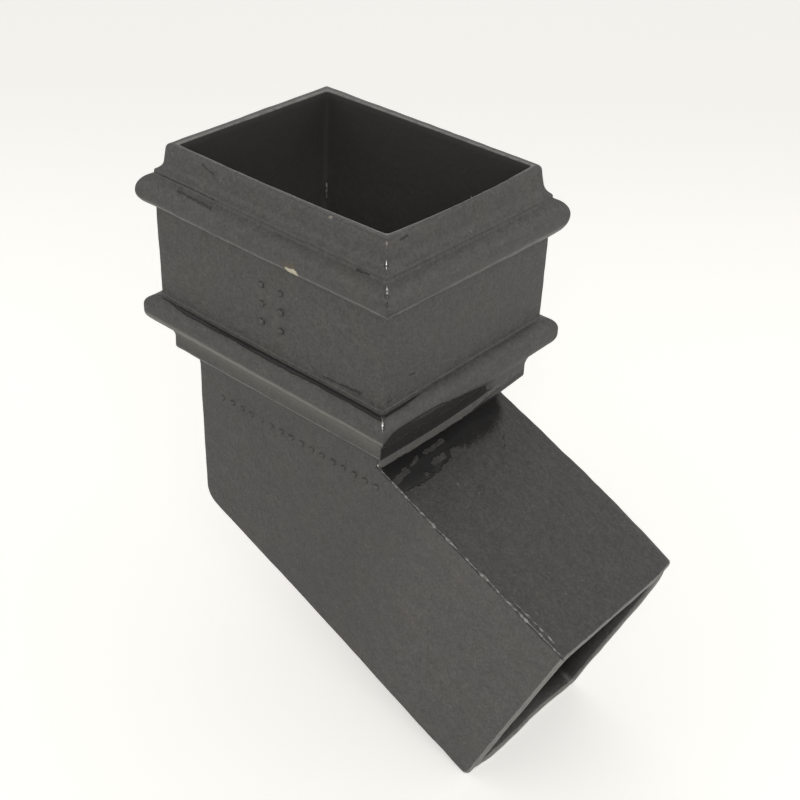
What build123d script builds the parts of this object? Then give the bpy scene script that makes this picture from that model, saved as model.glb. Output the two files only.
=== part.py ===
from build123d import *
import os
from math import cos, radians, sin, tan

# Rectangular downpipe bend, one iron casting: an ornamental socket on top, and a spigot that leaves
# it at an angle below. The origin is the middle of the socket's seat, on which the end of the pipe
# above stands. +Z runs up the socket, +X is the way the spigot leans. Sizes are in millimetres.

# Driving dimensions of the pipe
pipe_width = 100.0  # outside, along X
pipe_depth = 75.0  # outside, along Y
pipe_wall = 4.0
pipe_corner_radius = 1.5  # on the four long edges of the pipe
bore_corner_radius = 3.0  # in the four long corners of the bore

# Driving dimensions of the bend
bend_angle = 67.5  # degrees that the spigot turns away from the socket's axis
heel_radius = 8.5  # outside, at the back of the bend
throat_radius = 3.0  # outside, in the hollow of the bend
throat_straight = 3.6  # plain pipe between the mouldings and the throat
spigot_length = 99.5  # from the throat to the cut end, along the short side

# Driving dimensions of the socket's inside
socket_depth = 75.0  # from the rim down to the seat
socket_clearance = 2.0  # room on each side of the pipe that it takes
socket_corner_radius = 4.0
rim_rounding = 1.0  # on both edges of the rim

# Driving dimensions of the socket's outside. An offset is how far a face stands out from the pipe's
# own face, and the heights follow each other down from the rim.
lip_offset = 6.0
lip_draft = 0.8  # how much the lip widens towards its foot
lip_height = 7.6
small_cove_height = 3.7
small_cove_hollow = 0.6  # how deep the small cove is cut below its chord
quirk_height = 2.7  # the plain strip between the small cove and the upper bead
band_offset = 9.6
bead_height = 14.0  # the bold half-round under the lip
bead_projection = 5.5
band_height = 37.5
lower_bead_height = 13.8
lower_bead_projection = 5.7
lower_bead_sweep = 54.0  # degrees that the lower bead turns under its nose, before the cove
cove_height = 8.0
cove_hollow = 1.1
fillet_offset = 6.7
fillet_height = 5.3
fillet_rounding = 1.5
splay_height = 5.6  # the slope that runs back into the pipe

# Heights that follow from them
rim_height = socket_depth
lip_foot = rim_height - lip_height
quirk_top = lip_foot - small_cove_height
bead_top = quirk_top - quirk_height
bead_nose = bead_top - bead_height / 2
band_top = bead_top - bead_height
band_foot = band_top - band_height
lower_bead_nose = band_foot - lower_bead_height / 2

# The lower bead's circle, from its height and projection, and the point where the cove leaves it
lower_bead_radius = (lower_bead_projection**2 + (lower_bead_height / 2) ** 2) / (2 * lower_bead_projection)
lower_bead_centre_offset = band_offset + lower_bead_projection - lower_bead_radius
cove_top_offset = lower_bead_centre_offset + lower_bead_radius * cos(radians(lower_bead_sweep))
cove_top = lower_bead_nose - lower_bead_radius * sin(radians(lower_bead_sweep))
fillet_top = cove_top - cove_height
fillet_foot = fillet_top - fillet_height
neck_height = fillet_foot - splay_height

# The bend's lines, seen from the side
half_width = pipe_width / 2
mitre_slope = tan(radians(bend_angle / 2))
throat_height = neck_height - throat_straight
spigot_direction = Vector(sin(radians(bend_angle)), -cos(radians(bend_angle)))
spigot_upward = Vector(cos(radians(bend_angle)), sin(radians(bend_angle)))
throat_corner = Vector(half_width, throat_height)
spigot_top_end = throat_corner + spigot_direction * spigot_length
spigot_axis = Axis((0, 0, 0), (spigot_direction.X, 0, spigot_direction.Y))


def mitre_point(x):
    """Where the plane that halves the bend stands at this x: it falls away from the throat corner."""
    return Vector(x, throat_height - (half_width - x) * mitre_slope)


def bent_outline(inset, top, overrun):
    """The bend's side view, set in from the pipe's faces, from this top height to past the cut end."""
    throat = mitre_point(half_width - inset)
    heel = mitre_point(inset - half_width)
    end_middle = spigot_top_end - spigot_upward * half_width + spigot_direction * overrun
    end_reach = spigot_upward * (half_width - inset)
    outline = make_face(
        Polyline(
            (throat.X, top),
            throat,
            end_middle + end_reach,
            end_middle - end_reach,
            heel,
            (heel.X, top),
            close=True,
        )
    )
    throat_vertex = outline.vertices().sort_by_distance(throat)[0]
    outline = fillet(throat_vertex, throat_radius + inset)
    heel_vertex = outline.vertices().sort_by_distance(heel)[0]
    return fillet(heel_vertex, max(heel_radius - inset, bore_corner_radius))


def bent_bar(inset, top, overrun, corner_radius):
    """The side view carried across the pipe's depth, with the bar's four long edges rounded."""
    bar = extrude(Plane.XZ * bent_outline(inset, top, overrun), pipe_depth / 2 - inset, both=True)
    sides = bar.faces().filter_by(Axis.Y)
    ends = ShapeList([bar.faces().sort_by(Axis.Z)[-1], bar.faces().sort_by(spigot_axis)[-1]])
    return fillet(sides.edges() - ends.edges(), corner_radius)


def socket_outline(pipe_face):
    """The socket's outline with all its mouldings, for a pipe whose face is this far from the axis."""
    lip = pipe_face + lip_offset
    band = pipe_face + band_offset
    cove_start = (pipe_face + cove_top_offset, cove_top)
    small_cove_start = (lip + lip_draft, lip_foot)
    strip = pipe_face + fillet_offset
    right = [
        Line((0, rim_height), (lip - rim_rounding, rim_height)),
        RadiusArc((lip - rim_rounding, rim_height), (lip, rim_height - rim_rounding), rim_rounding),
        Line((lip, rim_height - rim_rounding), small_cove_start),
        SagittaArc(small_cove_start, (band, quirk_top), -small_cove_hollow),
        Line((band, quirk_top), (band, bead_top)),
        ThreePointArc((band, bead_top), (band + bead_projection, bead_nose), (band, band_top)),
        Line((band, band_top), (band, band_foot)),
        ThreePointArc((band, band_foot), (band + lower_bead_projection, lower_bead_nose), cove_start),
        SagittaArc(cove_start, (strip, fillet_top), -cove_hollow),
        Line((strip, fillet_top), (strip, fillet_foot)),
        Line((strip, fillet_foot), (pipe_face, neck_height)),
        Line((pipe_face, neck_height), (0, neck_height)),
        Line((0, neck_height), (0, rim_height)),
    ]
    half = make_face(Wire(right))
    strip_foot = half.vertices().sort_by_distance((strip, fillet_foot))[0]
    half = fillet(strip_foot, fillet_rounding)
    return half + mirror(half, Plane.YZ)


def moulded_socket():
    """The mouldings run round the socket and meet in mitres, as where two straight lengths cross."""
    run_out = pipe_width + pipe_depth
    along_y = extrude(Plane.XZ * socket_outline(pipe_width / 2), run_out, both=True)
    along_x = extrude(Plane.YZ * socket_outline(pipe_depth / 2), run_out, both=True)
    return along_y & along_x


def socket_recess():
    """The straight-sided space that takes the end of the pipe above, down to the seat."""
    width = pipe_width + 2 * socket_clearance
    depth = pipe_depth + 2 * socket_clearance
    return extrude(RectangleRounded(width, depth, socket_corner_radius), socket_depth)


def bend_casting():
    """Socket and bent pipe in one, hollowed by the recess above the seat and the bore below it."""
    solid = moulded_socket() + bent_bar(0, neck_height + fillet_height, 0, pipe_corner_radius)
    bore = bent_bar(pipe_wall, socket_depth / 2, pipe_wall, bore_corner_radius)
    hollow = solid - socket_recess() - bore
    rim = hollow.faces().sort_by(Axis.Z)[-1]
    return fillet(rim.inner_wires()[0].edges(), rim_rounding)


casting = bend_casting()
os.makedirs("parts", exist_ok=True)
export_step(casting, "parts/bend_casting.step")
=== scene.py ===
from math import cos, pi, radians, sin, sqrt, tan

import bpy
import numpy as np
from mathutils import Matrix, Vector


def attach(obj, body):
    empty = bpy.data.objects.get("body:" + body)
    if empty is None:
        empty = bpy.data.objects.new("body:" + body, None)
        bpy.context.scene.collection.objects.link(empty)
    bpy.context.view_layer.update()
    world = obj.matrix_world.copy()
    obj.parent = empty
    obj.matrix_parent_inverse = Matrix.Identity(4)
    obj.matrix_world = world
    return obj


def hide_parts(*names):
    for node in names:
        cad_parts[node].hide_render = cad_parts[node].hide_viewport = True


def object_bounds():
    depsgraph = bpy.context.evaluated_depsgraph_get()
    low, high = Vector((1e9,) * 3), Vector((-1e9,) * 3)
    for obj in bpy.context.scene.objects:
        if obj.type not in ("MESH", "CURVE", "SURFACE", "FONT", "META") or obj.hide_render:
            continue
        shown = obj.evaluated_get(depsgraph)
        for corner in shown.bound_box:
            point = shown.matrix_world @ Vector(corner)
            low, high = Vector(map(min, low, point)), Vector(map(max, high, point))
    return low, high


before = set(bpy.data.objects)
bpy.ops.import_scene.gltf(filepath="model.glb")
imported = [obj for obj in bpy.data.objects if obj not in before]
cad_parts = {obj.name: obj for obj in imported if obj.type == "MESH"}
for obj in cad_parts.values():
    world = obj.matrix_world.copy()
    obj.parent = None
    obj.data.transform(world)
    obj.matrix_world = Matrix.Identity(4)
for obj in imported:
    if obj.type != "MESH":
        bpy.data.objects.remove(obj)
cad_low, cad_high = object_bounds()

mm = 0.001

# The bend is one grey iron casting: a moulded socket narrows to a rectangular pipe, which turns away
# below the throat and is cut square. It was cast in a sand mould from a hand-made pattern and fettled at
# both ends. Its skin is one closed surface, a ring of points carried from the socket's seat up the
# recess, over the rim, down the outside, round the cut end and back up the bore.
pipe_half_width = 50 * mm
pipe_half_depth = 37.5 * mm
pipe_wall = 4 * mm
bend_angle = radians(67.5)
heel_radius = 8.5 * mm
throat_radius = 3 * mm
spigot_length = 99.5 * mm
socket_clearance = 2 * mm
lip_offset = 6 * mm
band_offset = 9.6 * mm
bead_projection = 5.5 * mm
lower_bead_projection = 5.7 * mm
fillet_offset = 6.7 * mm
cut_edge = 0.6 * mm

# Radii of the corners; the one at +X and +Y is rounder at the rim and at the cut end
recess_corner = 1.6 * mm
moulding_corner = 0.5 * mm
far_rim_corner = 1.4 * mm
pipe_corner = 0.7 * mm
far_end_corner = 4 * mm
bore_corner = 3 * mm

# Heights of the mouldings' lines above the socket's seat
rim = 75 * mm
lip_foot = 67.4 * mm
quirk_top = 63.7 * mm
bead_top = 61 * mm
band_top = 47 * mm
band_foot = 9.5 * mm
lower_bead_nose = 2.6 * mm
cove_top = -3.1 * mm
fillet_top = -11.1 * mm
fillet_foot = -16.4 * mm
neck = -22 * mm
throat = -25.6 * mm

# Directions and corners of the bend, seen from the side
along_spigot = np.array([sin(bend_angle), 0, -cos(bend_angle)])
above_spigot = np.array([cos(bend_angle), 0, sin(bend_angle)])
throat_corner = np.array([pipe_half_width, 0, throat])
spigot_end_middle = throat_corner + along_spigot * spigot_length - above_spigot * pipe_half_width
mitre_slope = tan(bend_angle / 2)

# Points on each rounded corner, each long side and each short side of a ring
corner_points = 5
long_side_points = 54
short_side_points = 42

# Rings on each stretch of the pipe; the bore, which is seen less, has fewer
upright_rings = 34
turn_rings = 9
spigot_rings = 70
bore_spigot_rings = 26
bore_upright_rings = 14


def straight(start, end, step):
    """Points on the line start + share x (end - start), about a step apart, without its end."""
    start = np.array(start)
    end = np.array(end)
    steps = max(1, round(np.linalg.norm(end - start) / step))
    share = np.arange(steps)[:, None] / steps
    return start + share * (end - start)


def bulge(start, end, rise, step):
    """The arc from start to end whose middle stands off the chord by rise, to its left, without its end.

    With half chord c the radius is (c^2 + rise^2) / (2 rise), and the points are centre + radius x
    (sin, cos) of an angle that runs evenly from one end to the other.
    """
    start = np.array(start)
    end = np.array(end)
    half_chord = np.linalg.norm(end - start) / 2
    direction = (end - start) / (2 * half_chord)
    left = np.array([-direction[1], direction[0]])
    radius = (half_chord**2 + rise**2) / (2 * abs(rise))
    side = np.sign(rise)
    centre = (start + end) / 2 + left * (rise - side * radius)
    half_turn = np.arctan2(half_chord, radius - abs(rise))
    steps = max(3, round(2 * half_turn * radius / step))
    turn = np.linspace(-half_turn, half_turn, steps, endpoint=False)[:, None]
    return centre + radius * (np.sin(turn) * direction + side * np.cos(turn) * left)


def softened(points, spread):
    """Each point becomes the bell-weighted mean of its neighbours, as sand and paint round an edge.

    The weight falls as exp(-k^2 / (2 spread^2)) with k the number of points away; the ends stay.
    """
    reach = int(3 * spread) + 1
    weights = np.exp(-(np.arange(-reach, reach + 1) ** 2) / (2 * spread**2))
    weights /= weights.sum()
    padded = np.pad(points, ((reach, reach), (0, 0)), mode="edge")
    return np.stack([np.convolve(column, weights, mode="valid") for column in padded.T], axis=1)


def recess_outline():
    """The inside of the socket as (offset from the pipe's face, height): over the seat, up the recess."""
    bore = (-pipe_wall, 0)
    seat_edge = (socket_clearance, 0)
    recess_top = (socket_clearance, rim - 0.6 * mm)
    seat = straight(bore, seat_edge, 1.5 * mm)
    wall = straight(seat_edge, recess_top, 3 * mm)
    return np.concatenate([seat, wall, np.array([recess_top])])


def moulding_outline():
    """The outside of the socket as (offset, height): over the rim and down the mouldings to the neck."""
    step = 0.5 * mm
    rim_inner = (socket_clearance + 0.3 * mm, rim)
    rim_outer = (lip_offset - 2.2 * mm, rim)
    lip_top = (lip_offset, rim - 1.8 * mm)
    lip_bottom = (lip_offset + 0.8 * mm, lip_foot)
    quirk_upper = (band_offset, quirk_top)
    quirk_lower = (band_offset, bead_top)
    band_upper = (band_offset, band_top)
    band_lower = (band_offset, band_foot)
    nose = (band_offset + lower_bead_projection, lower_bead_nose)
    cove_upper = (12.4 * mm, cove_top)
    cove_lower = (fillet_offset, fillet_top)
    fillet_bottom = (fillet_offset, fillet_foot)
    pieces = [
        straight(rim_inner, rim_outer, step),
        bulge(rim_outer, lip_top, 0.6 * mm, step),
        straight(lip_top, lip_bottom, step),
        bulge(lip_bottom, quirk_upper, -0.6 * mm, step),
        straight(quirk_upper, quirk_lower, step),
        bulge(quirk_lower, band_upper, bead_projection, step),
        straight(band_upper, band_lower, step),
        bulge(band_lower, nose, 2 * mm, step),
        bulge(nose, cove_upper, 1 * mm, step),
        bulge(cove_upper, cove_lower, -1.1 * mm, step),
        straight(cove_lower, fillet_bottom, step),
        straight(fillet_bottom, (0, neck), step),
        np.array([(0, neck)]),
    ]
    return softened(np.concatenate(pieces), spread=1.0)


def ring(half_width, half_depth, radii):
    """Points round rectangles with rounded corners, one rectangle to a row.

    Going round from the corner at +X and -Y, a corner's points are its centre + radius x (cos, sin),
    and a side's points divide the line between two corners evenly.
    """
    half_width = np.atleast_1d(half_width)[:, None]
    half_depth = np.atleast_1d(half_depth)[:, None]
    corners = []
    for number, (side_x, side_y) in enumerate(((1, -1), (1, 1), (-1, 1), (-1, -1))):
        radius = radii[:, number : number + 1]
        turn = (number - 1) * pi / 2 + np.linspace(0, pi / 2, corner_points)
        across = side_x * (half_width - radius) + radius * np.cos(turn)
        deep = side_y * (half_depth - radius) + radius * np.sin(turn)
        corners.append(np.stack([across, deep], axis=-1))
    loops = []
    for number, corner in enumerate(corners):
        count = long_side_points if number % 2 else short_side_points
        share = (np.arange(1, count) / count)[None, :, None]
        side = corner[:, -1:] * (1 - share) + corners[(number + 1) % 4][:, :1] * share
        loops.extend([corner, side])
    return np.concatenate(loops, axis=1)


def same_corners(count, radius):
    """The same radius at all four corners of each of count rings."""
    return np.full((count, 4), radius)


def socket_rings():
    """The socket's outlines carried round the rectangle: its half sizes are the pipe's plus the offset.

    The corners' radii run from the recess's to the mouldings' across the rim, and the last rings keep
    the mouldings' so that they meet the pipe.
    """
    neck_rings = 8
    inside = recess_outline()
    outside = moulding_outline()
    outline = np.concatenate([inside, outside])
    offset, height = outline.T
    inner_radii = same_corners(len(inside), recess_corner)
    outer_radii = same_corners(len(outside), moulding_corner)
    near_rim = np.clip((outside[:, 1] - bead_top) / (rim - bead_top), 0, 1)
    outer_radii[:, 1] += (far_rim_corner - moulding_corner) * near_rim
    past_edge = np.clip((outside[:, 0] - socket_clearance) / (lip_offset - socket_clearance), 0, 1)[:, None]
    outer_radii = recess_corner * (1 - past_edge) + outer_radii * past_edge
    radii = np.concatenate([inner_radii, outer_radii])
    radii[-neck_rings:] = moulding_corner
    points = ring(pipe_half_width + offset, pipe_half_depth + offset, radii)
    heights = np.broadcast_to(height[:, None, None], points.shape[:2] + (1,))
    return np.concatenate([points, heights], axis=2)


def mitre_height(across):
    """The plane that halves the bend: it falls from the throat by the mitre's slope."""
    return throat - (pipe_half_width - across) * mitre_slope


def turn_radius(across, inner):
    """The turn's radius grows evenly from the throat to the heel; in the bore the throat's is larger by
    a wall and the heel's is smaller by one."""
    share = (pipe_half_width - across) / (2 * pipe_half_width)
    radius = throat_radius + share * (heel_radius - throat_radius)
    return radius + inner * pipe_wall * (1 - 2 * share)


def turn_reach(across, inner):
    """How far from the mitre plane a turn starts: radius x tan(half the bend)."""
    return turn_radius(across, inner) * mitre_slope


def on_the_straight(points, top, inner, share):
    """Points on the upright part: height = top + share x (start of the turn - top)."""
    points = np.broadcast_to(points, (len(share),) + points.shape[1:])
    across = points[..., 0]
    start_of_turn = mitre_height(across) + turn_reach(across, inner)
    height = top + share[:, None] * (start_of_turn - top)
    return np.stack([across, points[..., 1], height], axis=-1)


def on_the_turn(points, inner, share):
    """Points on the turn: from its start, radius x (1 - cos) along +X and radius x sin down, at an
    angle that runs to the whole bend."""
    points = np.broadcast_to(points, (len(share),) + points.shape[1:])
    across = points[..., 0]
    radius = turn_radius(across, inner)
    angle = share[:, None] * bend_angle
    x = across + radius * (1 - np.cos(angle))
    height = mitre_height(across) + turn_reach(across, inner) - radius * np.sin(angle)
    return np.stack([x, points[..., 1], height], axis=-1)


def on_the_spigot(points, inner, share, short_of_end):
    """Points on the spigot: from the turn's end, share of the way along it to short of the cut end."""
    points = np.broadcast_to(points, (len(share),) + points.shape[1:])
    across = points[..., 0]
    centre = spigot_end_middle - short_of_end[:, None, None] * along_spigot
    end = centre + across[..., None] * above_spigot
    mitre = np.stack([across, np.zeros_like(across), mitre_height(across)], axis=-1)
    start = mitre + turn_reach(across, inner)[..., None] * along_spigot
    line = start + share[:, None, None] * (end - start)
    line[..., 1] = points[..., 1]
    return line


def pipe_outside():
    """The pipe's outer rings, from below the neck to the rounded edge of the cut end. The spigot's far
    top corner grows rounder over the last part of its length."""
    pipe = ring(pipe_half_width, pipe_half_depth, same_corners(1, pipe_corner))
    share = np.linspace(0, 1, spigot_rings)[1:]
    near_end = np.clip((share - 0.55) / 0.45, 0, 1) ** 1.5
    radii = same_corners(len(share), pipe_corner)
    radii[:, 1] += (far_end_corner - pipe_corner) * near_end
    spigot = ring(np.full(len(share), pipe_half_width), np.full(len(share), pipe_half_depth), radii)
    return [
        on_the_straight(pipe, neck, 0, np.linspace(0, 1, upright_rings)[1:-1]),
        on_the_turn(pipe, 0, np.linspace(0, 1, turn_rings)),
        on_the_spigot(spigot, 0, share, np.full(len(share), cut_edge)),
    ]


def cut_end():
    """The end of the spigot: its edges are rounded by a quarter circle, and the face between is flat."""
    quarter = np.linspace(0, pi / 2, 5)[1:]
    rise = cut_edge * (1 - np.cos(quarter))
    fall = cut_edge * (1 - np.sin(quarter))
    inset = np.concatenate([rise, pipe_wall - fall])
    short = np.concatenate([fall, rise])
    outer_radii = [pipe_corner, far_end_corner, pipe_corner, pipe_corner]
    radii = np.linspace(outer_radii, [bore_corner] * 4, len(inset))
    rings = ring(pipe_half_width - inset, pipe_half_depth - inset, radii)
    return [on_the_spigot(rings, 0, np.ones(len(inset)), short)]


def pipe_bore():
    """The bore's rings, from the cut end back to the seat."""
    bore = ring(pipe_half_width - pipe_wall, pipe_half_depth - pipe_wall, same_corners(1, bore_corner))
    share = np.linspace(1, 0, bore_spigot_rings)[1:-1]
    return [
        on_the_spigot(bore, 1, share, np.full(len(share), cut_edge)),
        on_the_turn(bore, 1, np.linspace(1, 0, turn_rings)),
        on_the_straight(bore, 0, 1, np.linspace(1, 0, bore_upright_rings)[1:-1]),
    ]


def ramp(value, low, high):
    """0 below low, 1 above high, and 3 s^2 - 2 s^3 between them; low may be the larger one."""
    share = np.clip((value - low) / (high - low), 0, 1)
    return share * share * (3 - 2 * share)


def ripple(points, wavelength, seed):
    """A smooth random field of spread 1: the sum of 24 plane waves of one wavelength, with directions
    and phases drawn from the seed, over the square root of half their number."""
    waves = 24
    draw = np.random.default_rng(seed)
    directions = draw.normal(size=(3, waves))
    directions /= np.linalg.norm(directions, axis=0)
    phases = draw.uniform(0, 2 * pi, waves)
    return np.cos(points @ directions * (2 * pi / wavelength) + phases).sum(axis=-1) / sqrt(waves / 2)


def outward(points):
    """Unit normals of a grid of points that closes both ways: the cross product of its two tangents."""
    around = np.roll(points, -1, axis=1) - np.roll(points, 1, axis=1)
    along = np.roll(points, -1, axis=0) - np.roll(points, 1, axis=0)
    normals = np.cross(along, around)
    return normals / np.linalg.norm(normals, axis=2, keepdims=True)


def skewed_mouldings(points):
    """How far the mouldings stand above or below their true heights.

    The pattern's strips were nailed on a little askew, one to a side. On the near side the shift runs
    evenly from the left corner's to the near corner's. On the right side it runs from the near corner's
    to the right corner's, less a sag of (1 - s^2) between them, and the far side joins its two ends.
    """
    levels = [throat, neck, fillet_foot, fillet_top, cove_top, lower_bead_nose, band_foot, band_top]
    levels += [(band_top + bead_top) / 2, bead_top, quirk_top, lip_foot]
    left = np.array([0, 0.5, 1.2, 1.6, 0.7, 1.0, 0.2, 2.3, 1.5, 1.5, 0.6, 0]) * mm
    near = np.array([0, -0.4, 1.2, -0.2, 0.4, -0.8, -0.6, 1.8, 1.2, 0.8, 0.2, 0]) * mm
    near_end_of_right = np.array([0, -1.4, -2.9, -4.1, -0.8, 0, -0.6, 1.3, 1.0, 0.8, 0.2, 0]) * mm
    right = np.array([0, -1.4, -1.7, -1.2, -0.8, 0.2, -0.3, -1.2, 0.3, 0.1, -0.8, 0]) * mm
    sag = np.array([0, 1.0, 2.2, 2.6, 0.8, 0, 0, 0, 0, 0, 0, 0]) * mm
    x, y, height = np.moveaxis(points, -1, 0)
    at_left, at_near, at_turn, at_right, at_middle = (
        np.interp(height, levels, shift) for shift in (left, near, near_end_of_right, right, sag)
    )
    across = np.clip(x / (pipe_half_width + band_offset), -1, 1)
    deep = np.clip(y / (pipe_half_depth + band_offset), -1, 1)
    near_side = at_left + (at_near - at_left) * (1 + across) / 2
    right_side = at_turn + (at_right - at_turn) * (1 + deep) / 2 - at_middle * (1 - deep**2)
    far_side = at_left + (at_right - at_left) * (1 + across) / 2
    on_long_side = np.abs(y) - pipe_half_depth > np.abs(x) - pipe_half_width
    sides = [on_long_side & (y < 0), on_long_side, x > 0]
    return np.select(sides, [near_side, far_side, right_side], at_left)


def full_sides(points):
    """How far the left side stands out along -X and the far side of the socket along +Y."""
    x, y, height = np.moveaxis(points, -1, 0)
    left = 0.6 * ramp(-x, 40 * mm, 50 * mm) * ramp(height, -100 * mm, -60 * mm)
    far = 0.6 * ramp(y, 30 * mm, 37 * mm) * ramp(height, 50 * mm, 70 * mm)
    return -left * mm, far * mm


def leaning_core(points):
    """How far the recess's walls stand off their true places, as x and y.

    The sand core leaned as the iron was poured, so the shift grows with the square of the height, and
    the rim's two near sides are thinnest at their middles. Over the rim's top it fades to nothing.
    """
    x, y, height = np.moveaxis(points, -1, 0)
    across = x / (pipe_half_width + socket_clearance)
    deep = y / (pipe_half_depth + socket_clearance)
    offset = np.maximum(np.abs(x) - pipe_half_width, np.abs(y) - pipe_half_depth)
    over_rim = np.clip((lip_offset - offset) / (lip_offset - socket_clearance), 0, 1)
    lean = np.clip(height / rim, 0, 1) ** 2 * over_rim
    shift_x = 0.7 + 0.5 * deep + 1.8 * (1 - deep**2) * ramp(across, 0.5, 1)
    shift_y = -0.2 + 0.8 * across - 0.9 * (1 - across**2) * ramp(deep, -0.5, -1)
    return shift_x * lean * mm, shift_y * lean * mm


def uneven_cut(points):
    """How far the spigot's end stands out along it: sawn and ground by eye, it is short at its far top
    corner, long along its far side and at the middle of its bottom, and its near tip is worn round."""
    from_throat = points - throat_corner
    along = from_throat @ along_spigot
    high = from_throat @ above_spigot / pipe_half_width + 1
    deep = points[..., 1] / pipe_half_depth
    far_side = 0.9 * ramp(deep, 0.3, 1) * ramp(high, 0.9, 0.2)
    far_top = -0.9 * ramp(deep, 0.6, 1) * ramp(high, 0.6, 1)
    far_corner = -1.4 * np.clip((deep - 0.88) / 0.12, 0, 1) ** 2 * ramp(high, 0.7, 1)
    bottom = 0.9 * ramp(high, -0.7, -1) * np.clip(1 - (deep + 0.4) ** 2 / 0.3, 0, 1)
    near_tip = -2.2 * ramp(deep, -0.6, -1) * np.clip((-0.93 - high) / 0.07, 0, 1) ** 2
    near_end = ramp(along, spigot_length - 30 * mm, spigot_length)
    return (far_side + far_top + far_corner + bottom + near_tip) * near_end * mm


def kept_inside(points):
    """Points drawn in to the measured size: past a margin inside each side of the box, the distance
    beyond becomes margin x tanh(distance / margin), so that no two points meet."""
    margin = 0.3 * mm
    middle = (np.array(cad_low) + np.array(cad_high)) / 2
    half_size = (np.array(cad_high) - np.array(cad_low)) / 2 - margin
    from_middle = points - middle
    beyond = np.maximum(np.abs(from_middle) - half_size, 0)
    kept = np.minimum(np.abs(from_middle), half_size) + margin * np.tanh(beyond / margin)
    return middle + np.sign(from_middle) * kept


def as_cast(points, outside):
    """The true form with the casting's faults, a slow drift and fine waves, kept in the measured size."""
    cast = points.copy()
    cast[..., 2] += skewed_mouldings(points) * outside[:, None]
    shift_x, shift_y = leaning_core(points)
    out_x, out_y = full_sides(points)
    cast[..., 0] += shift_x + out_x
    cast[..., 1] += shift_y + out_y
    cast += uneven_cut(points)[..., None] * along_spigot
    for axis in range(3):
        cast[..., axis] += 0.1 * mm * ripple(points, 110 * mm, seed=40 + axis)
    waves = 0.05 * mm * ripple(points, 17 * mm, seed=51) + 0.03 * mm * ripple(points, 8 * mm, seed=52)
    cast += waves[..., None] * outward(cast)
    return kept_inside(cast)


def mesh_object(name, vertices, faces):
    """A linked object from an array of vertices and a list of faces, all smooth."""
    mesh = bpy.data.meshes.new(name)
    mesh.from_pydata(vertices.tolist(), [], faces)
    mesh.shade_smooth()
    piece = bpy.data.objects.new(name, mesh)
    bpy.context.collection.objects.link(piece)
    return piece


def closed_grid(name, points):
    """A mesh of quads over a grid of points that closes both ways, facing outwards."""
    rows, columns = points.shape[:2]
    index = np.arange(rows * columns).reshape(rows, columns)
    right = np.roll(index, -1, axis=1)
    below = np.roll(index, -1, axis=0)
    corner = np.roll(right, -1, axis=0)
    faces = np.stack([index, below, corner, right], axis=2).reshape(-1, 4)
    return mesh_object(name, points.reshape(-1, 3), faces.tolist())


def capped_rings(count, turns):
    """Quads between count rings of turns points, then a fan of triangles that closes each end. The
    fans' middle points are numbered after all the rings."""
    index = np.arange(count * turns).reshape(count, turns)
    following = np.roll(index, -1, axis=1)
    quads = np.stack([index[:-1], index[1:], following[1:], following[:-1]], axis=2).reshape(-1, 4)
    first = np.stack([np.full(turns, index.size), index[0], following[0]], axis=1)
    last = np.stack([np.full(turns, index.size + 1), following[-1], index[-1]], axis=1)
    return quads, first, last


inside_rows = len(recess_outline())
outside_rows = len(moulding_outline())
pipe_outside_parts = pipe_outside()
true_form = np.concatenate([socket_rings(), *pipe_outside_parts, *cut_end(), *pipe_bore()])
outside = np.zeros(len(true_form))
outside[inside_rows : inside_rows + outside_rows + sum(len(part) for part in pipe_outside_parts)] = 1
inner = np.zeros(true_form.shape[:2], dtype=np.float32)
inner[:inside_rows] = 1
inner[-sum(len(part) for part in pipe_bore()) :] = 1
cast_form = as_cast(true_form, outside)
casting = closed_grid("bend_skin", cast_form)
true_place = casting.data.attributes.new("true_place", "FLOAT_VECTOR", "POINT")
true_place.data.foreach_set("vector", true_form.astype(np.float32).ravel())
inside = casting.data.attributes.new("inside", "FLOAT", "POINT")
inside.data.foreach_set("value", inner.ravel())
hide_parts("bend_casting")
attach(casting, "root")

# The coat is black paint, brushed on thick over the sand-cast skin. It is satin where it is thin and
# wet-looking where it pooled: along the band's foot, in the cove and on the spigot below the throat.
# Iron shows grey through it at the fettled edges, and cream filler shows at a chip on the upper bead.
# Light and shade are painted into its colour too: painted shade in the recess and the bore, on the
# spigot's top, in the pools under the socket and the beads and beside the flash; painted highlights and
# a painted reflection on the mouldings; and the spigot painted paler along its length.
paint_colour = (0.063, 0.062, 0.060, 1)
brown_paint_colour = (0.070, 0.066, 0.059, 1)
inside_shade_colour = (0.037, 0.035, 0.032, 1)
bore_shade_colour = (0.010, 0.0095, 0.009, 1)
pool_and_shade_colour = (0.021, 0.020, 0.020, 1)
cove_sheen_colour = (0.135, 0.132, 0.110, 1)
rubbed_and_highlight_colour = (0.24, 0.235, 0.22, 1)
filler_colour = (0.66, 0.60, 0.46, 1)
halo_colour = (0.10, 0.078, 0.052, 1)


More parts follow.
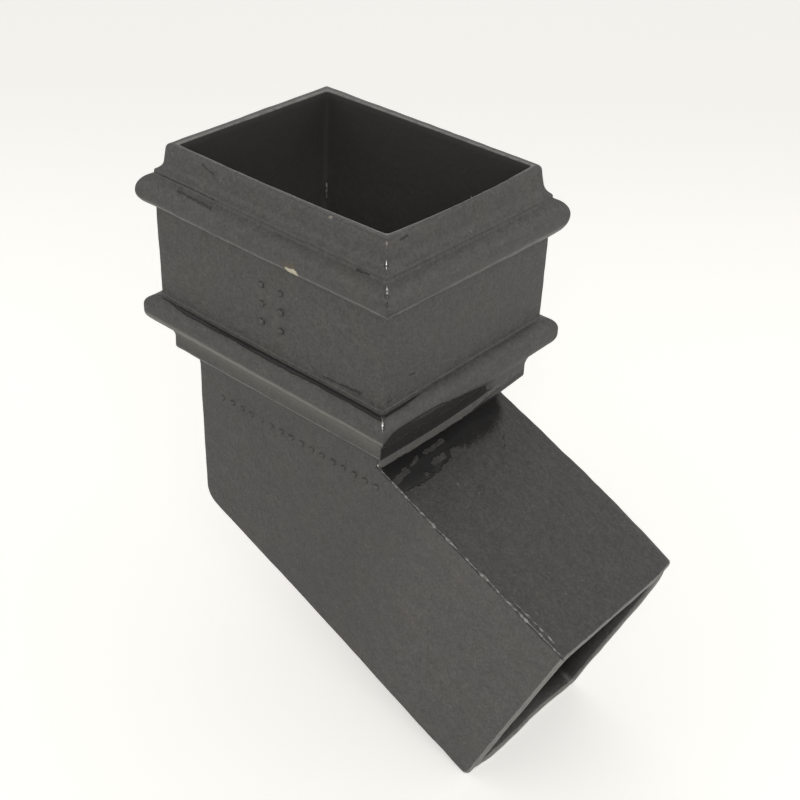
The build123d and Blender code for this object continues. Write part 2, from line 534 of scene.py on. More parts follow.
class Recipe:
    """One material's nodes: each method adds a node and gives back its output."""

    def __init__(self, name):
        self.material = bpy.data.materials.new(name)
        self.material.use_nodes = True
        self.tree = self.material.node_tree
        self.surface = self.tree.nodes["Principled BSDF"].inputs

    def put(self, socket, value):
        """Sets a socket to a number or colour, or joins an output to it."""
        if isinstance(value, bpy.types.NodeSocket):
            self.tree.links.new(value, socket)
        else:
            socket.default_value = value

    def add(self, kind, inputs, **settings):
        """A node of that kind; inputs go to its sockets by name or number."""
        node = self.tree.nodes.new("ShaderNode" + kind)
        for key, value in settings.items():
            setattr(node, key, value)
        for key, value in inputs.items():
            self.put(node.inputs[key], value)
        return node.outputs

    def math(self, operation, first, second=0.0, third=0.0):
        """One step of arithmetic."""
        return self.add("Math", {0: first, 1: second, 2: third}, operation=operation)[0]

    def scaled(self, value, factor, shift):
        """value x factor + shift."""
        return self.math("MULTIPLY_ADD", value, factor, shift)

    def less(self, first, second):
        """first - second."""
        return self.math("SUBTRACT", first, second)

    def product(self, *factors):
        """All the factors multiplied."""
        result = factors[0]
        for factor in factors[1:]:
            result = self.math("MULTIPLY", result, factor)
        return result

    def most(self, *values):
        """The largest of the values."""
        result = values[0]
        for value in values[1:]:
            result = self.math("MAXIMUM", result, value)
        return result

    def between(self, value, low, high):
        """0 at low and 1 at high, smooth at both ends; low may be the larger one."""
        return self.add("MapRange", {"Value": value, 1: low, 2: high}, interpolation_type="SMOOTHSTEP")[0]

    def graph(self, value, points):
        """A smooth line through points of value and result, both in millimetres."""
        across, up = np.array(points, dtype=float).T
        share = (across - across[0]) / (across[-1] - across[0])
        level = (up - up.min()) / (up.max() - up.min())
        node = self.tree.nodes.new("ShaderNodeFloatCurve")
        curve = node.mapping.curves[0]
        curve.points[0].location = (share[0], level[0])
        curve.points[-1].location = (share[-1], level[-1])
        for bend in zip(share[1:-1], level[1:-1]):
            curve.points.new(*bend)
        node.mapping.update()
        place = self.add("MapRange", {"Value": value, 1: across[0] * mm, 2: across[-1] * mm})[0]
        self.put(node.inputs["Value"], place)
        return self.scaled(node.outputs[0], np.ptp(up) * mm, up.min() * mm)

    def mix(self, share, first, second):
        """Two colours mixed by share."""
        return self.add("Mix", {0: share, 6: first, 7: second}, data_type="RGBA")[2]

    def split(self, vector):
        """A vector's three numbers."""
        return self.add("SeparateXYZ", {0: vector})

    def times(self, vector, factor):
        """A vector or a colour times a number."""
        return self.add("VectorMath", {0: vector, 3: factor}, operation="SCALE")[0]

    def away(self, vector, origin):
        """A vector less its origin."""
        return self.add("VectorMath", {0: vector, 1: origin}, operation="SUBTRACT")[0]

    def noises(self, size, detail, roughness):
        """Noise over the piece, one number or three, with grains about this many metres across."""
        places = self.add("TexCoord", {})["Object"]
        inputs = {"Vector": places, "Scale": 1 / size, "Detail": detail, "Roughness": roughness}
        return self.add("TexNoise", inputs)

    def noise(self, size, detail=2.0, roughness=0.5):
        """Soft noise between 0 and 1."""
        return self.noises(size, detail, roughness)["Fac"]

    def wobbled(self, vector, size, reach):
        """A vector moved about by noise, so that marks placed by it have uneven edges."""
        middle = (0.5, 0.5, 0.5)
        drift = self.away(self.noises(size, 3.0, 0.65)["Color"], middle)
        return self.add("VectorMath", {0: vector, 1: self.times(drift, reach)}, operation="ADD")[0]

    def line_at(self, value, level, half_width):
        """1 on the line where value equals level, falling to 0 at the half width."""
        gap = self.math("ABSOLUTE", self.less(value, level))
        return self.between(gap, half_width, half_width * 0.35)

    def near_stroke(self, vector, start, end):
        """Distance from a straight stroke: the point less the nearest point of the line start-end."""
        start = Vector(start) * mm
        run = Vector(end) * mm - start
        reach = self.away(vector, start)
        share = self.add("VectorMath", {0: reach, 1: run / run.length_squared}, operation="DOT_PRODUCT")[1]
        share = self.add("Clamp", {"Value": share})[0]
        gap = self.away(reach, self.times(run, share))
        return self.add("VectorMath", {0: gap}, operation="LENGTH")[1]

    def strokes(self, vector, lines, ragged):
        """Strokes given as start, end and half width in millimetres, their edges moved by the noise."""
        marks = []
        for start, end, half_width in lines:
            gap = self.scaled(ragged, 0.5 * mm, self.near_stroke(vector, start, end))
            edge = (half_width + 0.25) * mm
            marks.append(self.between(gap, edge + 0.12 * mm, edge - 0.12 * mm))
        return self.most(*marks)


class Places:
    """Where a point of the casting lies, measured before the casting's faults were put in.

    offset is how far it stands outside the pipe's nearest face. along and above are measured from the
    throat's corner: down the spigot, and out of its upper face. The three faces' points are given for
    strokes, already wobbled.
    """

    def __init__(self, recipe):
        self.place = recipe.add("Attribute", {}, attribute_name="true_place")["Vector"]
        self.x, self.y, self.z = recipe.split(self.place)
        beyond_x = recipe.less(self.x, pipe_half_width)
        beyond_y = recipe.less(recipe.product(self.y, -1), pipe_half_depth)
        offset_x = recipe.less(recipe.math("ABSOLUTE", self.x), pipe_half_width)
        offset_y = recipe.less(recipe.math("ABSOLUTE", self.y), pipe_half_depth)
        self.offset = recipe.most(offset_x, offset_y)
        self.on_left = recipe.math("GREATER_THAN", beyond_y, recipe.most(beyond_x, 0.0))
        on_right = recipe.math("GREATER_THAN", beyond_x, recipe.most(beyond_y, 0.0))
        self.on_right = recipe.product(on_right, recipe.math("GREATER_THAN", self.z, throat))
        below_throat = recipe.less(self.z, throat)
        out = recipe.product(beyond_x, sin(bend_angle))
        self.along = recipe.scaled(below_throat, -cos(bend_angle), out)
        up = recipe.product(beyond_x, cos(bend_angle))
        self.above = recipe.scaled(below_throat, sin(bend_angle), up)
        past_throat = recipe.math("GREATER_THAN", self.along, -1 * mm)
        self.on_top = recipe.product(recipe.line_at(self.above, 0.0, 1.5 * mm), past_throat)
        left_face = recipe.add("CombineXYZ", {0: self.x, 2: self.z})[0]
        right_face = recipe.add("CombineXYZ", {1: self.y, 2: self.z})[0]
        top_face = recipe.add("CombineXYZ", {0: self.along, 1: self.y})[0]
        self.left_face = recipe.wobbled(left_face, 1.5 * mm, 1.4 * mm)
        self.right_face = recipe.wobbled(right_face, 1.5 * mm, 1.4 * mm)
        self.top_face = recipe.wobbled(top_face, 2.6 * mm, 3.6 * mm)
        self.inside = recipe.add("Attribute", {}, attribute_name="inside")["Fac"]


def pools_and_shade(recipe, at, ragged, patchy):
    """Where the paint ran together, and where shade is painted: 1 in a pool, with edges that wander by the
    noise.

    The largest lies on the spigot below the throat: its shore says how far down it reaches at each y,
    and islands of thin paint are left in it. Others lie below the strip at the neck, in the right cove,
    along the ledge at the band's foot, and in the joint above the band. The pools are glossy, and their
    dark colour on the spigot under the socket, below the neck's strip, in the right cove and in the joint
    under the upper bead is painted shade.
    """
    wander = recipe.scaled(ragged, 5 * mm, -2.5 * mm)
    shore_line = [(-38, 12), (-33, 14.4), (-23, 15), (-8, 13), (-4.5, 9.8)]
    shore_line += [(3, 13.2), (18, 13.8), (24, 12), (33, 3), (38, -3)]
    shore = recipe.graph(at.y, shore_line)
    inland = recipe.less(recipe.math("ADD", shore, wander), at.along)
    islands = recipe.strokes(
        at.top_face,
        [
            ((9.3, -38, 0), (7.0, -28.2, 0), 1.4),
            ((6.8, -25, 0), (5.2, -19.8, 0), 0.7),
            ((5.4, -15, 0), (4.7, -4.9, 0), 1.0),
            ((10.8, -15.8, 0), (10.4, -9.4, 0), 1.3),
            ((13.0, -23.2, 0), (13.3, -21.8, 0), 0.7),
        ],
        ragged,
    )
    spots = recipe.strokes(
        at.top_face,
        [((17.1, 20.2, 0), (18.2, 18.6, 0), 0.6), ((20.5, 17.2, 0), (21.8, 15.4, 0), 0.3)],
        ragged,
    )
    fade = recipe.scaled(recipe.between(at.y, -8 * mm, 12 * mm), 3.5 * mm, 0.3 * mm)
    start_of_fade = recipe.product(fade, -0.6)
    # The pool on the spigot's top is painted shade as well as glossy paint: it lies dark under the socket.
    top = recipe.most(recipe.between(inland, start_of_fade, fade), spots)
    top = recipe.product(at.on_top, top, recipe.less(1.0, islands))
    creep = recipe.scaled(recipe.between(at.y, 0, 34 * mm), 3 * mm, fillet_foot - 1.3 * mm)
    creep = recipe.scaled(ragged, 3.2 * mm, creep)
    below_strip = recipe.less(creep, at.z)
    # Painted shade below the strip at the neck on the right face, on glossy pooled paint.
    neck_shade_pool = recipe.product(at.on_right, recipe.between(below_strip, -0.3 * mm, 0.3 * mm))

    cove_line = [(-53, -2), (-50.5, 1.4), (-46, 3), (-42, 3.4), (-25, 3)]
    cove_line += [(-10, 1), (5, -1), (14, -5), (22, -11), (53, -14)]
    high = recipe.graph(at.y, cove_line)
    under = recipe.less(recipe.scaled(wander, 0.2, high), at.z)
    # Painted shade in the right cove under the lower bead, on glossy pooled paint.
    cove_shade_pool = recipe.product(
        at.on_right,
        recipe.between(under, -0.3 * mm, 0.5 * mm),
        recipe.between(at.z, fillet_top - 0.6 * mm, fillet_top + 0.1 * mm),
    )

    below_band = recipe.between(at.z, band_foot + 0.3 * mm, band_foot)
    ledge = recipe.product(recipe.between(at.z, 6 * mm, 7.5 * mm), below_band)
    line_start = band_offset + 1 * mm
    start = recipe.scaled(wander, -0.12, line_start)
    line_end = recipe.scaled(patchy, 1.6 * mm, band_offset + 2.5 * mm)
    line_end = recipe.scaled(recipe.between(at.x, -40 * mm, -56 * mm), -1.2 * mm, line_end)
    left_line = recipe.product(
        at.on_left,
        ledge,
        recipe.between(recipe.less(at.offset, start), 0.0, 0.4 * mm),
        recipe.between(recipe.less(line_end, at.offset), 0.0, 0.4 * mm),
    )
    right_end = recipe.scaled(recipe.between(at.y, -16 * mm, -40 * mm), 1.5 * mm, line_start)
    dashes = recipe.most(recipe.between(at.y, -28 * mm, -31 * mm), recipe.between(ragged, 0.5, 0.55))
    right_line = recipe.product(
        at.on_right,
        ledge,
        dashes,
        recipe.between(recipe.less(at.offset, line_start), 0.0, 0.3 * mm),
        recipe.between(recipe.less(right_end, at.offset), 0.0, 0.4 * mm),
    )
    # Painted shade: a dark line in the crease under the upper bead on the right face.
    right_crease_shade = recipe.product(
        at.on_right,
        recipe.line_at(at.z, band_top + 0.2 * mm, 0.5 * mm),
        recipe.between(at.y, 4 * mm, -20 * mm),
    )
    return recipe.most(top, neck_shade_pool, cove_shade_pool, left_line, right_line, right_crease_shade)


def scratches(recipe, at, ragged):
    """Scratches and nicks as strokes in x and z on the left face, and in y and z on the right one."""
    left = recipe.strokes(
        at.left_face,
        [
            ((-56, 0, 61.9), (-40, 0, 62.3), 0.22),
            ((-43.7, 0, 60.2), (-30.5, 0, 59.9), 0.28),
            ((-39.3, 0, 62.5), (-26, 0, 62.3), 0.22),
            ((-31, 0, 60), (-24.6, 0, 59.7), 0.28),
            ((-35.5, 0, 72.8), (-29, 0, 71), 0.22),
            ((46.2, 0, 61.2), (52, 0, 61.3), 0.36),
            ((30.5, 0, 11.2), (48.9, 0, 12.1), 0.3),
            ((37.7, 0, 11.7), (49.7, 0, 12.9), 0.22),
        ],
        ragged,
    )
    right = recipe.strokes(
        at.right_face,
        [
            ((0, -36.8, 73), (0, -33.1, 73.3), 0.4),
            ((0, -32.6, 18.4), (0, -30.1, 18.2), 0.3),
            ((0, -44.5, 12.4), (0, -42, 12.5), 0.3),
        ],
        ragged,
    )
    return recipe.most(recipe.product(at.on_left, left), recipe.product(at.on_right, right))


def rubbed_edges_and_highlights(recipe, at, ragged, patchy):
    """How far the coat is rubbed off or painted light, from 0 to 1: worn at the rim's inner edge and the cut
    end, and painted highlights on the bead above the band, the left cove, the left fillet's foot and the
    right fillet.
    """
    broken = recipe.between(recipe.scaled(patchy, 0.6, ragged), 0.55, 0.95)
    outer = recipe.math("GREATER_THAN", at.offset, 5 * mm)
    rim_edge = recipe.product(
        recipe.between(at.z, rim - 0.8 * mm, rim - 0.3 * mm),
        recipe.between(at.offset, 3.3 * mm, 2.5 * mm),
        recipe.scaled(broken, 0.5, 0.5),
    )
    # Painted highlight: a light line on the bead just above the band.
    bead_highlight = recipe.product(
        outer,
        recipe.line_at(at.z, band_top + 2.6 * mm, 2.2 * mm),
        recipe.scaled(broken, 0.4, 0.4),
    )
    # Painted highlight along the top of the left cove.
    cove_line = recipe.product(
        at.on_left,
        outer,
        recipe.line_at(at.z, cove_top + 3 * mm, 1.5 * mm),
        recipe.scaled(broken, 0.35, 0.25),
    )
    # Painted highlight: a light line at the left fillet's foot, over the crease.
    foot_highlight = recipe.product(
        at.on_left,
        recipe.line_at(at.z, fillet_foot + 0.1 * mm, 0.7 * mm),
        recipe.scaled(broken, 0.4, 0.3),
    )
    worn_back = recipe.scaled(ragged, 1.2 * mm, spigot_length - 1.9 * mm)
    worn_back = recipe.scaled(at.on_top, 0.5 * mm, worn_back)
    end_edge = recipe.product(
        recipe.between(recipe.less(at.along, worn_back), 0.0, 0.3 * mm),
        recipe.scaled(broken, 0.45, 0.7),
    )
    # Painted highlight: a lighter strip on the right fillet's face, broken by streaks.
    streaks = recipe.product(recipe.between(at.y, 2 * mm, 20 * mm), recipe.between(ragged, 0.56, 0.46))
    right_strip_highlight = recipe.product(
        at.on_right,
        recipe.between(at.z, fillet_foot - 0.2 * mm, fillet_foot + 0.3 * mm),
        recipe.between(at.z, fillet_top, fillet_top - 0.5 * mm),
        recipe.scaled(streaks, -0.2, 0.2),
    )
    return recipe.most(rim_edge, bead_highlight, cove_line, foot_highlight, end_edge, right_strip_highlight)


def black_paint():
    """The coat on the casting: satin paint, then its worn places, its pools, its marks and its chips, with
    painted shade and painted highlights laid into its colour.
    """
    recipe = Recipe("black_paint")
    at = Places(recipe)
    ragged = recipe.noise(3 * mm, 3, 0.6)
    patchy = recipe.noise(14 * mm, 3, 0.6)
    grain = recipe.noise(1.1 * mm, 3, 0.7)
    pooled_and_shaded = pools_and_shade(recipe, at, ragged, patchy)
    scratched = scratches(recipe, at, ragged)
    rubbed_and_highlit = recipe.product(rubbed_edges_and_highlights(recipe, at, ragged, patchy), recipe.less(1.0, pooled_and_shaded))
    chip_gap = recipe.near_stroke(at.left_face, (17.4, 0, 50.9), (20.6, 0, 51.1))
    chip_gap = recipe.scaled(grain, 2.8 * mm, chip_gap)
    chip = recipe.product(at.on_left, recipe.between(chip_gap, 3.2 * mm, 2.5 * mm))
    rim_gap = recipe.near_stroke(at.place, (29.3, -43, 74.6), (29.9, -43, 74.6))
    corner_gap = recipe.near_stroke(at.place, (55.6, -43, 74.6), (55.9, -43.2, 74))
    small_chips = recipe.between(recipe.math("MINIMUM", rim_gap, corner_gap), 0.75 * mm, 0.45 * mm)
    halo_gap = recipe.near_stroke(at.left_face, (17.0, 0, 52.6), (20.0, 0, 53.0))
    halo = recipe.product(at.on_left, recipe.between(halo_gap, 3.2 * mm, 1.2 * mm))
    # Painted shadow: a ragged dark line on the near face just under the spigot's top edge, beside the flash.
    flash_shadow = recipe.product(
        recipe.between(at.y, 0.7 * mm - pipe_half_depth, 0.2 * mm - pipe_half_depth),
        recipe.line_at(at.above, -0.8 * mm, 0.7 * mm),
        recipe.between(at.along, 1 * mm, 3 * mm),
        recipe.between(ragged, 0.44, 0.52),
    )
    # Painted reflection: the left cove, facing down and out, is coloured a lighter olive as if it mirrored
    # the bright floor.
    cove_sheen = recipe.product(
        at.on_left,
        recipe.between(at.z, 2.4 * mm, -0.4 * mm),
        recipe.between(at.z, fillet_foot - 1 * mm, cove_top),
    )

    colour = recipe.mix(recipe.between(patchy, 0.35, 0.75), paint_colour, brown_paint_colour)
    shade = recipe.scaled(grain, 1.6, 0.2)
    shade = recipe.product(shade, recipe.scaled(ragged, 0.8, 0.6))
    # Painted light and shade: the spigot paler along its length from the throat, and its top face darker,
    # standing in for the dark socket it mirrors.
    painted_spigot_light = recipe.scaled(recipe.between(at.along, 5 * mm, 50 * mm), 0.24, 1.0)
    painted_top_shade = recipe.scaled(at.on_top, -0.28, 1.0)
    shade = recipe.product(shade, painted_spigot_light, painted_top_shade)
    colour = recipe.times(colour, shade)
    # Painted shade: the recess and the bore are coloured darker than the coat outside, darkest in the
    # spigot's bore past the throat; the recess is painted lighter further down.
    in_bore = recipe.product(at.inside, recipe.between(at.z, throat + 10 * mm, throat - 10 * mm))
    painted_light_deeper = recipe.scaled(recipe.between(at.z, 65 * mm, 15 * mm), 0.9, 0.85)
    colour = recipe.mix(at.inside, colour, recipe.times(inside_shade_colour[:3], painted_light_deeper))
    colour = recipe.mix(in_bore, colour, bore_shade_colour)
    colour = recipe.mix(cove_sheen, colour, cove_sheen_colour)
    specks = recipe.between(recipe.noise(1.3 * mm, 1), 0.74, 0.80)
    specks = recipe.product(specks, recipe.less(1.0, at.inside))
    colour = recipe.mix(recipe.product(specks, 0.4), colour, rubbed_and_highlight_colour)
    # Rubbed edges show grey iron; along the bead, the left cove and the fillets the same grey is painted
    # highlight.
    colour = recipe.mix(recipe.product(rubbed_and_highlit, 0.85), colour, rubbed_and_highlight_colour)
    # Scratches are dark marks; beside the flash the dark line is painted shadow.
    marked_and_shadowed = recipe.product(recipe.most(scratched, flash_shadow), 0.9)
    # Pools and marks are painted dark; under the socket, under the beads and at the neck the dark is painted
    # shade.
    colour = recipe.mix(recipe.most(pooled_and_shaded, marked_and_shadowed), colour, pool_and_shade_colour)
    colour = recipe.mix(recipe.product(halo, 0.6), colour, halo_colour)
    chipped = recipe.most(recipe.product(chip, 0.9), recipe.product(small_chips, 0.25))
    colour = recipe.mix(chipped, colour, filler_colour)
    recipe.put(recipe.surface["Base Color"], colour)

    satin = recipe.scaled(ragged, 0.18, 0.38)
    satin = recipe.most(satin, recipe.product(recipe.most(rubbed_and_highlit, chip), 0.6), recipe.product(at.inside, 0.9))
    wet = recipe.product(recipe.less(0.16, satin), pooled_and_shaded)
    recipe.put(recipe.surface["Roughness"], recipe.math("ADD", satin, wet))

    skin = recipe.product(recipe.noise(2.4 * mm, 2), 0.26 * mm)
    skin = recipe.scaled(grain, 0.14 * mm, skin)
    skin = recipe.scaled(recipe.noise(7 * mm, 2), 0.30 * mm, skin)
    skin = recipe.product(skin, recipe.scaled(pooled_and_shaded, -0.7, 1.0))
    dents = recipe.scaled(recipe.most(scratched, chip), -0.25 * mm, skin)
    bump = recipe.add("Bump", {"Strength": 1.0, "Distance": 1.0, "Height": dents})[0]
    recipe.put(recipe.surface["Normal"], bump)
    return recipe.material


coat = black_paint()
casting.data.materials.append(coat)

# Iron squeezed into the joint of the mould left a thin ragged flash along the spigot's near top edge,
# doubled for a short way near the end. It was never filed off and the paint has rubbed from its crest.


def thread(name, path, lift, radius):
    """A closed thread along a path: rings of points drawn in to a point at both ends.

    A ring is path + radius x (cos(a) side + sin(a) lift) for angles a all round, where side is the
    path's direction crossed with the lift, so that the surface faces outwards.
    """
    turns = 8
    direction = np.gradient(path, axis=0)
    direction /= np.linalg.norm(direction, axis=1, keepdims=True)
    side = np.cross(direction, lift)
    side /= np.linalg.norm(side, axis=1, keepdims=True)
    lift = np.cross(side, direction)
    angle = np.arange(turns) * 2 * pi / turns
    spokes = np.cos(angle)[None, :, None] * side[:, None] + np.sin(angle)[None, :, None] * lift[:, None]
    rings = path[1:-1, None] + radius[1:-1, None, None] * spokes[1:-1]
    vertices = np.concatenate([rings.reshape(-1, 3), path[:1], path[-1:]])
    faces = [face for group in capped_rings(len(rings), turns) for face in group.tolist()]
    return mesh_object(name, kept_inside(vertices), faces)


def flash(name, start, end, inward, seed):
    """A thread from start to end along the spigot's edge, its size and course wandering with the seed."""
    share = np.linspace(0, 1, round((end - start) / (0.6 * mm)))[:, None]
    edge = throat_corner - np.array([0, pipe_half_depth - inward, 0])
    path = edge + (start + share * (end - start)) * along_spigot
    course = 0.10 * mm * ripple(path, 9 * mm, seed) + 0.06 * mm * ripple(path, 3 * mm, seed + 1)
    swell = 0.85 + 0.45 * ripple(path, 6 * mm, seed + 2) + 0.4 * ripple(path, 2.2 * mm, seed + 3)
    swell = np.clip(swell, 0.4, 1.7)
    path = path + course[:, None] * np.array([0, 1, 0]) - 0.05 * mm * above_spigot
    taper = np.clip(8 * share * (1 - share), 0, 1)[:, 0] ** 0.5
    radius = 0.35 * mm * swell * taper
    lift = np.broadcast_to(above_spigot, path.shape)
    return thread(name, path, lift, radius)


def rubbed_paint():
    """Paint worn through to grey iron in flecks; on the recess's run the flecks are a painted glint."""
    recipe = Recipe("rubbed_paint")
    flecks = recipe.between(recipe.noise(2.2 * mm, 3), 0.38, 0.60)
    dark_paint = (0.07, 0.069, 0.064, 1)
    grey_iron = (0.27, 0.265, 0.25, 1)
    recipe.put(recipe.surface["Base Color"], recipe.mix(flecks, dark_paint, grey_iron))
    recipe.put(recipe.surface["Roughness"], 0.38)
    return recipe.material


rubbed_and_glint_coat = rubbed_paint()
for piece in (
    flash("flash_line", 1.2 * mm, 97.8 * mm, 0, 70),
    flash("flash_second_line", 72 * mm, 93 * mm, 1.9 * mm, 80),
):
    piece.data.materials.append(rubbed_and_glint_coat)
    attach(piece, "root")

# Wet paint ran down the socket's near mitre and into the recess's far corner, and set in drops. The bright
# iron on the crests of the mitre's drops and the grey flecks on the recess's run are painted highlights
# that stand in for the drops' glints.


def wet_paint():
    """Thick paint that set smooth."""
    recipe = Recipe("wet_paint")
    recipe.put(recipe.surface["Base Color"], (0.03, 0.03, 0.031, 1))
    recipe.put(recipe.surface["Roughness"], 0.12)
    return recipe.material


def bright_iron():
    """Bright metal standing in for the glints on the drops, a painted highlight, broken by duller patches."""
    recipe = Recipe("bright_iron")
    dull_patches = recipe.between(recipe.noise(1.1 * mm, 2), 0.50, 0.38)
    shining_iron = (0.78, 0.77, 0.75, 1)
    dull_iron = (0.20, 0.195, 0.19, 1)
    recipe.put(recipe.surface["Base Color"], recipe.mix(dull_patches, shining_iron, dull_iron))
    recipe.put(recipe.surface["Metallic"], 1.0)
    recipe.put(recipe.surface["Roughness"], 0.35)
    return recipe.material


def mitre_run(name, top, bottom, size, drops, proud):
    """A run down the near mitre, with its heights and sizes in millimetres.

    Its path is the casting's own corner between the heights top and bottom, raised by proud. At a share
    u of its length its radius is size x the square root of sin(pi u) x (0.4 + 0.6 sin^2(pi u drops)),
    one swelling to a drop.
    """
    column = corner_points // 2
    rows_past_neck = 60
    heights = true_form[inside_rows : inside_rows + outside_rows + rows_past_neck, column, 2]
    rows = inside_rows + np.flatnonzero((heights <= top * mm) & (heights >= bottom * mm))
    corner = cast_form[rows, column]
    known = np.append(0, np.cumsum(np.linalg.norm(np.diff(corner, axis=0), axis=1)))
    share = np.linspace(0, 1, 48)
    known /= known[-1]
    facing = outward(cast_form)[rows, column]
    path = np.stack([np.interp(share, known, line) for line in corner.T], axis=1)
    lift = np.stack([np.interp(share, known, line) for line in facing.T], axis=1)
    radius = size * mm * np.sqrt(np.sin(pi * share)) * (0.4 + 0.6 * np.sin(pi * share * drops) ** 2)
    return thread(name, path + proud * mm * lift, lift, radius)


def recess_run():
    """A short run down the recess's far left corner: a straight thread, flecked like the flash, its flecks a
    painted glint.
    """
    share = np.linspace(0, 1, 20)[:, None]
    top = np.array([-50.6, 38.2, 34]) * mm
    foot = np.array([-50.7, 38.3, 26]) * mm
    path = top + share * (foot - top)
    radius = 0.6 * mm * np.sqrt(np.sin(pi * share[:, 0]))
    lift = np.broadcast_to([1.0, -1.0, 0.0], path.shape)
    return thread("recess_run", path, lift, radius)


wet_coat = wet_paint()
for piece in (
    mitre_run("mitre_run_lip", 68, 65, 0.9, 1, -0.3),
    mitre_run("mitre_run_bead", 61.5, 54.5, 0.9, 3, -0.35),
    mitre_run("mitre_run_ledge", 9.8, 5, 0.9, 2, -0.3),
    mitre_run("mitre_run_foot", -14.6, -16.8, 0.6, 1, -0.2),
    mitre_run("mitre_run_neck", -21, -27.5, 0.8, 2, -0.2),
):
    piece.data.materials.append(wet_coat)
    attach(piece, "root")
# Painted highlights: bright iron on the drops' crests stands in for their glints.
glint_metal = bright_iron()
for piece in (
    mitre_run("bright_spot_lip", 68.4, 65.2, 0.27, 1, 0.3),
    mitre_run("bright_spot_bead", 60.8, 58, 0.36, 1, 0.3),
    mitre_run("bright_spot_ledge", 8.9, 5.6, 0.36, 1, 0.3),
    mitre_run("bright_spot_neck", -22.6, -25.6, 0.4, 1, 0.25),
):
    piece.data.materials.append(glint_metal)
    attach(piece, "root")
# The recess run's grey flecks are a painted glint.
run = recess_run()
run.data.materials.append(rubbed_and_glint_coat)
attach(run, "root")

# Low round pips stand in for the raised marks of the real casting: a row along the pipe below the neck
# and six on the band. They were part of the pattern, so they are iron under the same coat.
pip_radius = 1.4 * mm
pip_height = 0.9 * mm


def pips(name, centres):
    """Domes on a face that looks towards -Y.

    A dome's rings are centre + radius x sin(a) round and -height x cos(a) out of the face, for a from
    its crown to its foot; a last ring and a point close it inside the wall.
    """
    root_depth = 0.8 * mm
    turns = 20
    fall = np.linspace(0, pi / 2, 7)[1:]
    reach = np.append(pip_radius * np.sin(fall), pip_radius)
    rise = np.append(-pip_height * np.cos(fall), root_depth)
    angle = np.arange(turns) * 2 * pi / turns
    rings = np.stack(
        [
            reach[:, None] * np.cos(angle),
            np.broadcast_to(rise[:, None], (len(reach), turns)),
            reach[:, None] * np.sin(angle),
        ],
        axis=-1,
    ).reshape(-1, 3)
    dome = np.concatenate([rings, [[0, -pip_height, 0], [0, root_depth, 0]]])
    vertices = (centres[:, None] + dome).reshape(-1, 3)
    steps = np.arange(len(centres))[:, None, None] * len(dome)
    faces = []
    for group in capped_rings(len(reach), turns):
        faces += (group + steps).reshape(-1, group.shape[1]).tolist()
    return mesh_object(name, vertices, faces)


pipe_face = -pipe_half_depth
band_face = -pipe_half_depth - band_offset
row = np.linspace([-37 * mm, pipe_face, -34.5 * mm], [49 * mm, pipe_face, -35.5 * mm], 16)
six = np.array([(x * mm, band_face, z * mm) for x in (-2, 8) for z in (21, 29, 37)])
for piece in (pips("pips_on_pipe", row), pips("pips_on_band", six)):
    piece.data.materials.append(coat)
    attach(piece, "root")

# Three hairs of iron were left on the rim's inner edge when it was fettled.


def burr(name, root, tip):
    """A hair that tapers from its root to its tip."""
    share = np.linspace(0, 1, 7)[:, None]
    path = np.array(root) * mm + share * (np.array(tip) - np.array(root)) * mm
    radius = 0.14 * mm * np.sqrt(1 - share[:, 0])
    return thread(name, path, np.broadcast_to([0.0, 0.0, 1.0], path.shape), radius)


for piece in (
    burr("burr_first", (55.2, -7.2, 74.6), (54.0, -5.6, 74.7)),
    burr("burr_second", (55.0, 2.6, 74.6), (53.2, 4.6, 74.7)),
    burr("burr_third", (55.0, 4.2, 74.6), (54.0, 5.4, 74.7)),
):
    piece.data.materials.append(rubbed_and_glint_coat)
    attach(piece, "root")

# The bend stands on a plain pale floor, touched by the lowest edge of its spigot, in soft light: white
# walls all round, a greyer ceiling, a large lamp above and behind the camera, and a small one near it
# for the glints on the mitre. The camera looks down on the near corner.
floor_colour = (0.80, 0.795, 0.775, 1)
camera_azimuth = radians(40.15)
camera_elevation = radians(34.0)
camera_roll = radians(2.39)
camera_place = Vector((325.6, -352.9, 288.3)) * mm
focal_length_pixels = 1378
picture_width_pixels = 800


def floor():
    """A large flat square under the lowest point of the bend. It glows a little to the camera, less so
    behind the bend."""
    reach = 8.0
    sides = ((-reach, -reach), (reach, -reach), (reach, reach), (-reach, reach))
    corners = np.array([(x, y, cad_low[2]) for x, y in sides])
    piece = mesh_object("floor", corners, [[0, 1, 2, 3]])
    recipe = Recipe("pale_floor")
    recipe.put(recipe.surface["Base Color"], floor_colour)
    recipe.put(recipe.surface["Roughness"], 0.8)
    seen = recipe.add("LightPath", {})["Is Camera Ray"]
    place = recipe.split(recipe.add("TexCoord", {})["Object"])
    sideways = recipe.product(place["X"], sin(camera_azimuth))
    behind = recipe.less(recipe.product(place["Y"], cos(camera_azimuth)), sideways)
    glow = recipe.scaled(recipe.between(behind, 150 * mm, 700 * mm), -0.12, 0.42)
    recipe.put(recipe.surface["Emission Color"], (1.0, 0.985, 0.94, 1))
    recipe.put(recipe.surface["Emission Strength"], recipe.product(seen, glow))
    piece.data.materials.append(recipe.material)


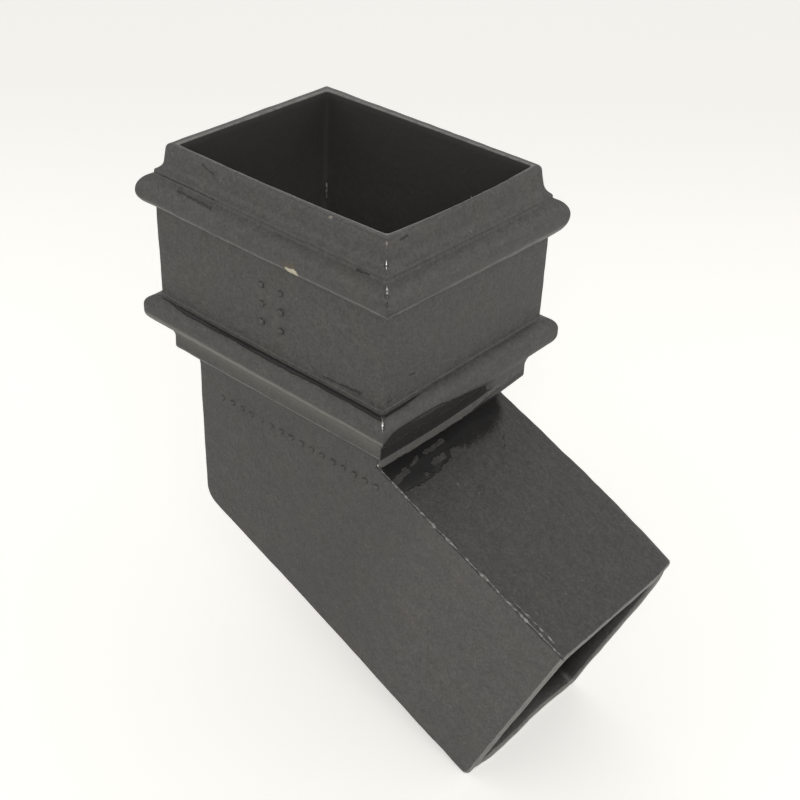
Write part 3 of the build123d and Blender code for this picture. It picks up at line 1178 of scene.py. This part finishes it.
def camera():
    """The photograph's viewpoint: turned by azimuth, elevation and roll about its own axis."""
    data = bpy.data.cameras.new("camera")
    data.sensor_width = 36
    data.lens = focal_length_pixels / picture_width_pixels * data.sensor_width
    data.clip_start = 10 * mm
    data.clip_end = 50
    back = Vector(
        (
            sin(camera_azimuth) * cos(camera_elevation),
            -cos(camera_azimuth) * cos(camera_elevation),
            sin(camera_elevation),
        )
    )
    level = Vector((cos(camera_azimuth), sin(camera_azimuth), 0))
    upright = back.cross(level)
    right = cos(camera_roll) * level + sin(camera_roll) * upright
    up = cos(camera_roll) * upright - sin(camera_roll) * level
    piece = bpy.data.objects.new("camera", data)
    piece.matrix_world = Matrix((right, up, back)).transposed().to_4x4()
    piece.location = camera_place
    bpy.context.collection.objects.link(piece)
    bpy.context.scene.camera = piece


def softbox(name, place, aim, size, power):
    """A square area lamp at a place, turned to its aim."""
    data = bpy.data.lights.new(name, "AREA")
    data.size = size
    data.energy = power
    piece = bpy.data.objects.new(name, data)
    piece.location = place
    piece.rotation_mode = "QUATERNION"
    piece.rotation_quaternion = (Vector(aim) - Vector(place)).to_track_quat("-Z", "Y")
    bpy.context.collection.objects.link(piece)


def surroundings():
    """White at the height of the eye, falling to grey overhead between two heights of the sky's sphere."""
    fall_starts = 0.35
    fall_ends = 0.85
    strength_at_eye = 1.0
    strength_overhead = 0.5
    world = bpy.data.worlds.new("studio")
    world.use_nodes = True
    tree = world.node_tree
    direction = tree.nodes.new("ShaderNodeTexCoord").outputs["Generated"]
    height = tree.nodes.new("ShaderNodeSeparateXYZ")
    share = tree.nodes.new("ShaderNodeMapRange")
    share.interpolation_type = "SMOOTHSTEP"
    levels = (fall_starts, fall_ends, strength_at_eye, strength_overhead)
    for number, level in enumerate(levels, 1):
        share.inputs[number].default_value = level
    background = tree.nodes["Background"]
    background.inputs["Color"].default_value = (1.0, 0.99, 0.97, 1)
    tree.links.new(direction, height.inputs[0])
    tree.links.new(height.outputs[2], share.inputs[0])
    tree.links.new(share.outputs[0], background.inputs["Strength"])
    bpy.context.scene.world = world


floor()
camera()
surroundings()
softbox("key_lamp", (1.0, -0.9, 1.0), (0.03, 0, -0.03), 0.9, 5)
softbox("glint_lamp", (0.7, -0.95, 0.85), (0.05, -0.05, 0), 0.12, 1.2)
bpy.context.scene.view_settings.view_transform = "Standard"
